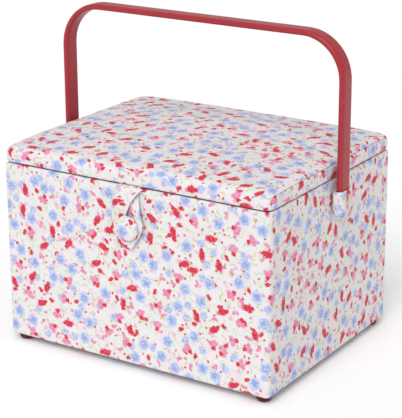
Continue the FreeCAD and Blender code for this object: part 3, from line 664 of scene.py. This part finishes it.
# The folded strip of the loop, down its near leg, round its mitred point and up its far leg, in mm:
# outer edge (x, below the rim, proud of the box), inner edge the same.
loop_strip = [
    (-12.6, 0.0, 1.4, 17.5, 0.0, 1.8), (-14.0, 3.5, 3.4, 13.8, 3.5, 4.6), (-16.1, 9.0, 3.9, 9.2, 9.2, 5.6),
    (-18.8, 16.0, 3.7, 4.4, 15.6, 5.4), (-20.5, 24.0, 3.2, 0.4, 23.0, 4.4), (-21.3, 34.0, 2.6, -3.5, 32.0, 3.2),
    (-21.0, 44.0, 2.4, -6.0, 42.0, 2.6), (-18.6, 53.0, 2.4, -6.2, 48.5, 2.4), (-13.4, 60.5, 2.5, -3.6, 51.6, 2.4),
    (-6.0, 64.6, 2.6, -0.6, 52.6, 2.4), (1.4, 65.4, 2.8, 1.6, 52.4, 2.4), (8.0, 58.5, 3.2, 4.0, 49.6, 2.4),
    (13.8, 49.0, 4.2, 5.4, 44.6, 2.3), (18.4, 39.5, 5.4, 5.2, 37.0, 2.2), (17.2, 32.5, 5.6, 2.8, 30.0, 2.1),
    (15.2, 26.0, 5.0, -0.2, 25.0, 2.0), (13.2, 17.0, 3.2, 0.2, 16.0, 1.5), (11.4, 9.0, 1.7, 0.0, 8.5, 1.2),
    (10.2, 0.0, 0.9, -2.4, 0.0, 0.8)]


def closure_loop():
    """Folded strip of the print, bent into a loop with a mitred point."""
    strip = eased([[v * mm for v in row] for row in loop_strip])
    along = path_lengths([((ax + bx) / 2, (az + bz) / 2) for ax, az, _, bx, bz, _ in strip])
    cut_x, cut_width = 0.9, 0.018

    def at(t, n):
        ax, az, ad, bx, bz, bd = strip[n]
        swell = 0.5 * mm * math.sin(math.pi * t)
        point = (ax + (bx - ax) * t, front_y - ad - (bd - ad) * t - swell, rim_z + 0.2 * mm - az - (bz - az) * t)
        return point, (cut_x + cut_width * t, along[n])

    piece = new_piece("closure_loop_cloth", *woven(np.linspace(0, 1, 8), range(len(strip)), at), print_cloth)
    thicken(piece, 1.5 * mm, 0.0)
    smooth_over(piece)
    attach(piece, "loop")
    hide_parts("closure_loop")


def loop_tab():
    """End of the loop's strip, glued up under the lid's front edge."""
    low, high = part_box("loop_tab")
    profile = [(front_y - 1.9 * mm, rim_z - 0.5 * mm), (front_y - 1.6 * mm, rim_z + 0.25 * mm),
               (front_y - 0.6 * mm, low.z - 0.25 * mm), (front_y + 2 * mm, low.z - 0.3 * mm),
               (front_y + 6 * mm, low.z - 0.25 * mm), (high.y, low.z - 0.2 * mm)]
    along = path_lengths(profile)
    cut_x, cut_y = 0.7, 0.2

    def at(t, n):
        x = low.x + (high.x - low.x) * t
        return (x, *profile[n]), (cut_x + x, cut_y - along[n])

    rows = reversed(range(len(profile)))
    piece = new_piece("loop_tab_cloth", *woven(np.linspace(0, 1, 12), rows, at), print_cloth)
    thicken(piece, 0.35 * mm)
    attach(piece, "lid")
    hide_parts("loop_tab")
    path_lengths(profile)[-1]


def covered_button():
    """Domed button covered in the print, the cloth gathered over its edge to the back."""
    low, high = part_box("button_cap")
    (centre_x, _, centre_z), (radius, _, _) = middle_and_half(low, high)
    face_y, back_y = low.y + 0.1 * mm, high.y - 0.1 * mm
    dome = (0.06, 0.2, 0.35, 0.5, 0.63, 0.75, 0.85, 0.92)
    profile = [(radius * r, face_y + 3.0 * mm * r ** 2.6) for r in dome]
    profile += [(radius * 0.965, face_y + 3.3 * mm), (radius, face_y + 4.3 * mm), (radius * 0.99, back_y - 1.0 * mm),
                (radius * 0.95, back_y - 0.3 * mm), (radius * 0.86, back_y), (radius * 0.74, back_y)]
    along = path_lengths([(0, face_y)] + profile)[1:]
    count, pleats = 72, 18
    cut_x, cut_y = 1.3, 0.6

    def at(k, n):
        (r, y), reach = profile[n], along[n]
        angle = 2 * math.pi * k / count
        fold = max(0.0, (reach / along[-1] - 0.62)) * 1.1 * mm * math.cos(pleats * angle)
        point = (centre_x + (r + fold) * math.cos(angle), y, centre_z + (r + fold) * math.sin(angle))
        return point, (cut_x + reach * math.cos(angle), cut_y + reach * math.sin(angle))

    cap = woven(range(count + 1), range(len(profile)), at, wrap=True, close="first")
    piece = new_piece("covered_button_cloth", *turned(*cap), print_cloth)
    thicken(piece, 0.5 * mm)
    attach(piece, "box")
    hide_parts("button_cap")


# ---------------------------------------------------------------- handle
def made_plain(piece):
    """Keeps what the piece's modifiers make as its own smooth mesh, and takes them off."""
    piece.data = bpy.data.meshes.new_from_object(piece.evaluated_get(bpy.context.evaluated_depsgraph_get()))
    piece.modifiers.clear()
    piece.data.shade_smooth()


def moulded_strap():
    """The strap as it leaves its mould: the same shape with its edges drawn round."""
    shape = bmesh.new()
    shape.from_mesh(frame["nodes"]["handle"].data)
    bmesh.ops.remove_doubles(shape, verts=shape.verts, dist=0.01 * mm)
    mesh = bpy.data.meshes.new("handle_strap")
    shape.to_mesh(mesh)
    shape.free()
    mesh.materials.clear()
    mesh.materials.append(handle_plastic)
    piece = new_object("handle_strap", mesh)
    skin = piece.modifiers.new("skin", "REMESH")
    skin.mode, skin.voxel_size = "VOXEL", 1.2 * mm
    soft = piece.modifiers.new("soft_edges", "SMOOTH")
    soft.factor, soft.iterations = 0.5, 14
    made_plain(piece)
    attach(piece, "handle")
    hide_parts("handle")


# ---------------------------------------------------------------- cuffs
cuff_corner = 5.2 * mm


def cuff(side):
    """Cotton sleeve round the end of the handle: turned-in hem at its mouth, rounded and gathered at its foot."""
    name = "cuff_" + ("left" if side < 0 else "right")
    low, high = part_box(name)
    (cx, cy, _), (hx, hy, _) = middle_and_half(low, high)
    tall = high.z - low.z
    places, length = stations(hx, hy, cuff_corner, 2.2 * mm)
    # (inset across, inset along the strap's width, height): down inside the mouth, over it, and down outside.
    profile = [(2.6, 1.3, tall / mm - 8), (2.5, 1.2, tall / mm - 2), (2.2, 1.0, tall / mm - 0.5),
               (1.5, 0.6, tall / mm), (0.6, 0.2, tall / mm - 0.2), (0.15, 0.0, tall / mm - 1.1),
               (0.1, 0.0, tall / mm - 3.6),
               (0.45, 0.25, tall / mm - 4.6), (0.15, 0.05, tall / mm - 5.6), (0.0, 0.0, tall / mm - 9),
               (0.0, 0.0, 16.5), (0.05, 0.1, 12), (0.2, 0.5, 8), (0.6, 1.5, 4.6), (1.4, 3.2, 2.2), (2.7, 5.6, 0.7),
               (4.2, 8.0, 0.1)]
    along = path_lengths([(a, z) for a, _, z in profile])
    cut_x, cut_y = 0.236, 1.318

    def at(place, n):
        in_x, in_y, z = profile[n]
        x, y = set_in(place, hx, hy, cuff_corner, 0)
        x *= (hx - in_x * mm) / hx
        y *= (hy - in_y * mm) / hy
        crease = 0.35 * mm * ripple(x, y, z * mm, 9 * mm, 11.0 + side) if z < 22 else 0.0
        out_x, out_y = place[2]
        point = (cx + x + out_x * crease, cy + y + out_y * crease, low.z + z * mm)
        return point, (place[0] + cut_x, cut_y - along[n] * mm)

    rows = reversed(range(len(profile)))
    piece = new_piece(name + "_cloth", *woven(closed(places, length), rows, at, wrap=True, close="first"), print_cloth)
    smooth_over(piece)
    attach(piece, "handle")
    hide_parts(name)


# ---------------------------------------------------------------- cloth hinge
def hinge_cloth():
    """Strip of the print glued across the back of the gap."""
    low, gap_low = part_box("hinge_strip_body")
    gap_high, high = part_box("hinge_strip_lid")
    face_y = high.y + 0.15 * mm
    cut_x = 0.4
    heights = [low.z, low.z + 0.5 * mm, *np.linspace(low.z + 3 * mm, gap_low.z - 1.6 * mm, 7),
               gap_low.z - 0.5 * mm, (gap_low.z + gap_high.z) / 2, gap_high.z + 0.5 * mm,
               *np.linspace(gap_high.z + 1.6 * mm, high.z - 2.5 * mm, 4), high.z - 0.5 * mm, high.z]

    def at(x, z):
        y = face_y - (0.45 * mm if z in (low.z, high.z) else 0) - (0.5 * mm if gap_low.z < z < gap_high.z else 0)
        return (x, y + 0.12 * mm * ripple(x, y, z, 16 * mm, 2.0), z), (cut_x - x, z)

    piece = new_piece("hinge_cloth", *woven(np.linspace(high.x, low.x, 90), heights, at), print_cloth)
    thicken(piece, 0.6 * mm)
    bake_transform(piece)
    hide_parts("hinge_strip_body", "hinge_strip_lid")


# ---------------------------------------------------------------- linings
def body_lining():
    """Plain cotton lining: a folded top edge just under the rim, down the walls to the floor."""
    low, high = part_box("body_lining")
    inner = low.x - cover_low.x + 1.0 * mm  # its face, from the outside of the cover
    places, length = stations(half_x, half_y, body_radius, 6 * mm)
    profile = [(inner - 0.9 * mm, high.z - 2 * mm), (inner - 0.8 * mm, high.z - 0.4 * mm),
               (inner - 0.4 * mm, high.z), (inner, high.z - 0.5 * mm), (inner + 0.1 * mm, high.z - 2.5 * mm)]
    profile += [(inner, z) for z in np.linspace(high.z - 6 * mm, low.z + 5 * mm, 30)]
    profile += [(inner + 0.2 * mm, low.z + 1.6 * mm), (inner + 1.2 * mm, low.z + 0.4 * mm),
                (inner + 4 * mm, low.z + 0.3 * mm)]
    along = path_lengths(profile)

    def at(place, n):
        inset, z = profile[n]
        x, y = set_in(place, half_x, half_y, body_radius, inset)
        sag = 0.0
        if low.z + 2 * mm < z < high.z - 3 * mm:
            sag = 0.45 * mm * (0.5 + ripple(x, y, z * 0.3, 30 * mm, 5.0))
        out_x, out_y = place[2]
        return (x - out_x * sag, middle_y + y - out_y * sag, z), (place[0], -along[n])

    lining = woven(closed(places, length), range(len(profile)), at, wrap=True)
    piece = new_piece("body_lining_cloth", *lining, lining_cloth)
    thicken(piece, 0.5 * mm)
    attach(piece, "box")
    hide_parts("body_lining")


def flat_cloth(name, node, body, facing):
    """Rectangle of lining in a node's place, its edges rolled back; facing is 1 up or -1 down."""
    low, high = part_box(node)
    face, behind = (high.z, low.z) if facing > 0 else (low.z, high.z)
    roll, size, lie = 1.2 * mm, 5 * mm, 0.4 * mm

    def lines(a, b):
        edge = (0, 0.35 * roll, roll)
        middle = np.linspace(a + 2.5 * roll, b - 2.5 * roll, round((b - a) / size))
        return [*(a + d for d in edge), *middle, *(b - d for d in reversed(edge))]

    xs, ys = lines(low.x, high.x), lines(low.y, high.y)

    def at(i, j):
        x, y = xs[i], ys[j]
        from_edge = min(i, len(xs) - 1 - i, j, len(ys) - 1 - j)
        back = (0.85, 0.3, 0.05)[from_edge] if from_edge < 3 else 0.0
        z = face + (behind - face) * back
        if from_edge > 2:
            z -= facing * lie * (0.5 + 0.5 * ripple(x, y, 0, 40 * mm, 1.7))
        return (x, y, z), (x, y)

    piece = new_piece(name, *woven(list(range(len(xs)))[::facing], range(len(ys)), at), lining_cloth)
    thicken(piece, 0.5 * mm)
    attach(piece, body)
    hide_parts(node)
    return piece, (high.x - low.x, high.y - low.y)


gather = 1.32  # the pocket's cloth is this many times as wide as the pocket


def lid_pocket():
    """Pocket of the lining's cloth across the back of the lid's inside, gathered onto its elastic."""
    low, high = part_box("lid_pocket")

    def at(x, y):
        towards_elastic = 1 - (y - low.y) / (high.y - low.y)
        from_side = min(1.0, (high.x - abs(x)) / (10 * mm))
        depth = 0.35 + 0.45 * math.sin(math.pi * min(1.0, 1.15 * (1 - towards_elastic))) * from_side
        wander = 5 * mm * ripple(x, y, 0, 60 * mm, 3.3)
        fold = math.sin(2 * math.pi * (x + wander) / (8.5 * mm)) * (0.1 + 0.9 * towards_elastic ** 1.3) * from_side
        return (x, y, high.z - (high.z - low.z) * (depth + 0.22 * fold)), (x * gather, y)

    xs, ys = np.linspace(high.x, low.x, 260), np.linspace(low.y, high.y, 26)
    piece = new_piece("lid_pocket_cloth", *woven(xs, ys, at), lining_cloth)
    thicken(piece, 0.35 * mm)
    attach(piece, "lid")
    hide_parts("lid_pocket")


def elastic_casing():
    """Casing of the pocket's elastic, puckered along its length."""
    low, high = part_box("pocket_elastic")
    (_, cy, cz), (_, ry, rz) = middle_and_half(low, high)
    around, depth = 20, 0.11

    def at(k, x):
        wander = 3 * mm * ripple(x, 0, 0, 30 * mm)
        pucker = 1 + depth * math.sin(2 * math.pi * (x + wander) / (4.6 * mm)) - depth
        end = min(1.0, 0.55 + (high.x - abs(x)) / (4 * mm))
        angle = 2 * math.pi * k / around
        flat = 0.82 if math.sin(angle) > 0 else 1.0
        point = (x, cy + ry * end * pucker * math.cos(angle), cz + rz * end * pucker * flat * math.sin(angle))
        return point, (ry * 2 * math.pi * k / around, x * gather)

    tube = woven(range(around + 1), np.linspace(low.x, high.x, 420), at, wrap=True, close="both")
    piece = new_piece("pocket_elastic_casing", *turned(*tube), elastic_cloth)
    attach(piece, "lid")
    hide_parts("pocket_elastic")


def drawn_in(u, v):
    """Place on the pin cushion's outline as shares of its half, its sides drawn in and its corners rounded off."""
    draw_x = 1 - 0.035 * (1 - v * v) * abs(u) ** 3
    draw_y = 1 - 0.05 * (1 - u * u) * abs(v) ** 3
    corner = 1 - 0.045 * (u * v) ** 8
    return u * draw_x * corner, v * draw_y * corner


def pin_cushion():
    """Soft pad sewn to the lid's lining: full in the middle, its sides drawn in between its corners."""
    low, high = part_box("pin_cushion")
    (cx, cy, _), (hx, hy, _) = middle_and_half(low, high)
    nx, ny = 45, 27
    points, cloth_of = [], []
    for depth in (5.6 * mm, -0.9 * mm):
        for j in range(ny):
            for i in range(nx):
                u, v = 2 * i / (nx - 1) - 1, 2 * j / (ny - 1) - 1
                x, y = drawn_in(u, v)
                swell = ((1 - u * u) * (1 - v * v)) ** 0.62
                points.append((cx + hx * x, cy + hy * y, high.z - 1.2 * mm - depth * swell))
                cloth_of.append((u * hx, v * hy))
    edge = [i for i in range(nx)] + [j * nx + nx - 1 for j in range(1, ny)]
    edge += [(ny - 1) * nx + i for i in range(nx - 2, -1, -1)] + [j * nx for j in range(ny - 2, 0, -1)]
    weld = {n + nx * ny: n for n in edge}
    faces = []
    for j in range(ny - 1):
        for i in range(nx - 1):
            quad = (j * nx + i, j * nx + i + 1, (j + 1) * nx + i + 1, (j + 1) * nx + i)
            faces.append(tuple(reversed(quad)))
            faces.append(tuple(weld.get(n + nx * ny, n + nx * ny) for n in quad))
    used = sorted({n for f in faces for n in f})
    place = {n: k for k, n in enumerate(used)}
    cloth = [[cloth_of[n % (nx * ny)] for n in f] for f in faces]
    faces = [tuple(place[n] for n in f) for f in faces]
    piece = new_piece("pin_cushion_cloth", [points[n] for n in used], faces, cloth, cushion_cloth)
    back = [place[n] for n in used if n >= nx * ny] + [place[n] for n in edge]
    inflate(piece, back, 2.2, 0.9 * mm)
    smooth_over(piece)
    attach(piece, "lid")
    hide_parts("pin_cushion")


# ---------------------------------------------------------------- stitches
def stitch_tree():
    """Puts one thread-shaped stitch after another along every line of the mesh it is given."""
    tree = bpy.data.node_groups.new("running_stitch", "GeometryNodeTree")
    sockets = tree.interface.new_socket
    sockets("Lines", in_out="INPUT", socket_type="NodeSocketGeometry")
    for label, size in (("Stitch length", 2.6 * mm), ("Gap", 1.2 * mm), ("Thread thickness", 0.42 * mm)):
        sockets(label, in_out="INPUT", socket_type="NodeSocketFloat").default_value = size
    sockets("Thread", in_out="INPUT", socket_type="NodeSocketMaterial")
    sockets("Stitches", in_out="OUTPUT", socket_type="NodeSocketGeometry")
    lines, stitch_length, gap, thick, material = add(tree, "NodeGroupInput").node.outputs[:5]
    curves = add(tree, "GeometryNodeMeshToCurve", [lines])
    pitch = add(tree, "Math", [stitch_length, gap], operation="ADD")
    spots = add(tree, "GeometryNodeCurveToPoints", {"Curve": curves, "Length": pitch}, mode="LENGTH").node.outputs
    pulled = add(tree, "FunctionNodeRandomValue", {2: 0.86, 3: 1.04, "Seed": 7}, out=1, data_type="FLOAT")
    long = add(tree, "Math", [stitch_length, pulled], operation="MULTIPLY")
    size = add(tree, "CombineXYZ", [thick, thick, long])
    one = add(tree, "GeometryNodeMeshUVSphere", {"Segments": 6, "Rings": 5, "Radius": 0.5})
    row = add(tree, "GeometryNodeInstanceOnPoints",
              {"Points": spots["Points"], "Instance": one, "Rotation": spots["Rotation"], "Scale": size})
    real = add(tree, "GeometryNodeRealizeInstances", [row])
    done = add(tree, "GeometryNodeSetMaterial", {"Geometry": real, "Material": material})
    tree.links.new(done, tree.nodes.new("NodeGroupOutput").inputs[0])
    return tree


def stitches(name, body, lines, **sizes):
    """Plain mesh of all the stitches on one body. Each line is a list of points, closed where its ends meet."""
    points, edges = [], []
    for line in lines:
        loops = math.dist(line[0], line[-1]) < 0.01 * mm
        first, count = len(points), len(line) - loops
        points += line[:count]
        edges += [(first + k, first + k + 1) for k in range(count - 1)]
        edges += [(first + count - 1, first)] if loops else []
    mesh = bpy.data.meshes.new(name)
    mesh.from_pydata(points, edges, [])
    piece = new_object(name, mesh)
    row = piece.modifiers.new("stitches", "NODES")
    row.node_group = running_stitch
    sizes["Thread"] = white_thread
    for item in running_stitch.interface.items_tree:
        if item.in_out == "INPUT" and item.name in sizes:
            row[item.identifier] = sizes[item.name]
    made_plain(piece)
    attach(piece, body)


def sewn_edges():
    """Hinge strip's two rows, pocket's three sides, pin cushion's edge and the hems of the cuffs."""
    low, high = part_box("hinge_strip_body")
    lid_strip_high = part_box("hinge_strip_lid")[1]
    back_y = high.y + 0.12 * mm

    def across_back(z):
        return [(x, back_y + 0.12 * mm * ripple(x, high.y, z, 16 * mm, 2.0), z)
                for x in np.linspace(low.x + 3 * mm, high.x - 3 * mm, 120)]

    stitches("hinge_stitches", "box", [across_back(low.z + 3.2 * mm)])

    pocket_low, pocket_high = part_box("lid_pocket")
    x, front, back, z = (pocket_high.x - 1.6 * mm, pocket_low.y + 1 * mm, pocket_high.y - 1.6 * mm,
                         pocket_high.z - 0.95 * mm)
    pocket = [(-x, front, z), (-x, back, z), (x, back, z), (x, front, z)]
    pad_low, pad_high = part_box("pin_cushion")
    (cx, cy, _), (hx, hy, _) = middle_and_half(pad_low, pad_high)
    round_pad = []
    for k in range(121):
        angle = 2 * math.pi * k / 120
        u, v = math.cos(angle), math.sin(angle)
        reach = 1 / max(abs(u), abs(v))
        x, y = drawn_in(u * reach, v * reach)
        round_pad.append((cx + hx * x, cy + hy * y, pad_high.z - 1.5 * mm))
    stitches("lid_stitches", "lid", [across_back(lid_strip_high.z - 2.6 * mm), pocket, round_pad])

    hems = []
    for side in ("left", "right"):
        low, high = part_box("cuff_" + side)
        (cx, cy, _), (hx, hy, _) = middle_and_half(low, high)
        places, length = stations(hx, hy, cuff_corner, 2.2 * mm)
        ring = [set_in(place, hx, hy, cuff_corner, 0.3 * mm) for place in closed(places, length)]
        hems.append([(cx + x, cy + y, high.z - 4.6 * mm) for x, y in ring])
    stitches("cuff_stitches", "handle", hems, **{"Stitch length": 1.9 * mm, "Gap": 0.9 * mm})


closure_loop()
loop_tab()
covered_button()
moulded_strap()
for side in (-1, 1):
    cuff(side)
hinge_cloth()
body_lining()
floor_cloth, floor_size = flat_cloth("floor_lining_cloth", "floor_lining", "box", 1)
lid_cloth, lid_size = flat_cloth("lid_lining_cloth", "lid_lining", "lid", -1)
lid_pocket()
elastic_casing()
pin_cushion()
running_stitch = stitch_tree()
sewn_edges()


# ---------------------------------------------------------------- floor, lights and camera
def floor():
    """Plain pale floor, wide enough to fill the view."""
    reach = 60.0
    mesh = bpy.data.meshes.new("floor")
    corners = [(-reach, -reach, 0), (reach, -reach, 0), (reach, reach, 0), (-reach, reach, 0)]
    mesh.from_pydata(corners, [], [(0, 1, 2, 3)])
    material, tree, shader = new_material("matt_white_paper_sweep", Roughness=0.9, Specular_IOR_Level=0.1)
    place = add(tree, "TexCoord", out="Object")
    grain = add(tree, "TexNoise", {"Vector": place, "Scale": 60.0, "Detail": 2.0})
    finish_surface(tree, shader, coats(tree, "#FBFBFB", [(grain, "#F8F8F8")]), grain, 0.05, 0.2 * mm)
    mesh.materials.append(material)
    ground = new_object("floor", mesh)


def studio():
    """White surroundings and one very soft distant lamp at the front, above and a little to the right."""
    world = bpy.data.worlds.new("white_studio")
    world.use_nodes = True
    world.node_tree.nodes["Background"].inputs["Color"].default_value = (1, 1, 1, 1)
    world.node_tree.nodes["Background"].inputs["Strength"].default_value = 0.64
    bpy.context.scene.world = world
    light = bpy.data.lights.new("key_lamp", "SUN")
    light.energy, light.angle = 1.9, math.radians(40)
    lamp = new_object("key_lamp", light)
    lamp.rotation_euler = Vector((0.12, -0.40, 0.42)).to_track_quat("Z", "Y").to_euler()


def camera():
    """Long lens, looking down on the front right corner."""
    turn, tilt, roll = math.radians(32.55), math.radians(17.978), math.radians(-0.235)
    back = Vector((math.sin(turn) * math.cos(tilt), -math.cos(turn) * math.cos(tilt), math.sin(tilt)))
    level = Vector((math.cos(turn), math.sin(turn), 0))
    upward = back.cross(level)
    right = level * math.cos(roll) + upward * math.sin(roll)
    top = upward * math.cos(roll) - level * math.sin(roll)
    aim = Vector(((cad_low.x + cad_high.x) / 2, 15.3 * mm, 152.5 * mm))
    distance = 1.6504
    data = bpy.data.cameras.new("camera")
    data.lens, data.sensor_width = 133.16, 36
    frame_high = 418
    data.shift_x, data.shift_y = -3.8 / frame_high, -14.3 / frame_high
    data.clip_start, data.clip_end = 0.05, 200
    eye = new_object("camera", data)
    eye.matrix_world = Matrix(((right.x, top.x, back.x, 0), (right.y, top.y, back.y, 0),
                               (right.z, top.z, back.z, 0), (0, 0, 0, 1)))
    eye.location = aim + back * distance
    bpy.context.scene.camera = eye


floor()
studio()
camera()
bpy.context.scene.view_settings.view_transform = "Standard"
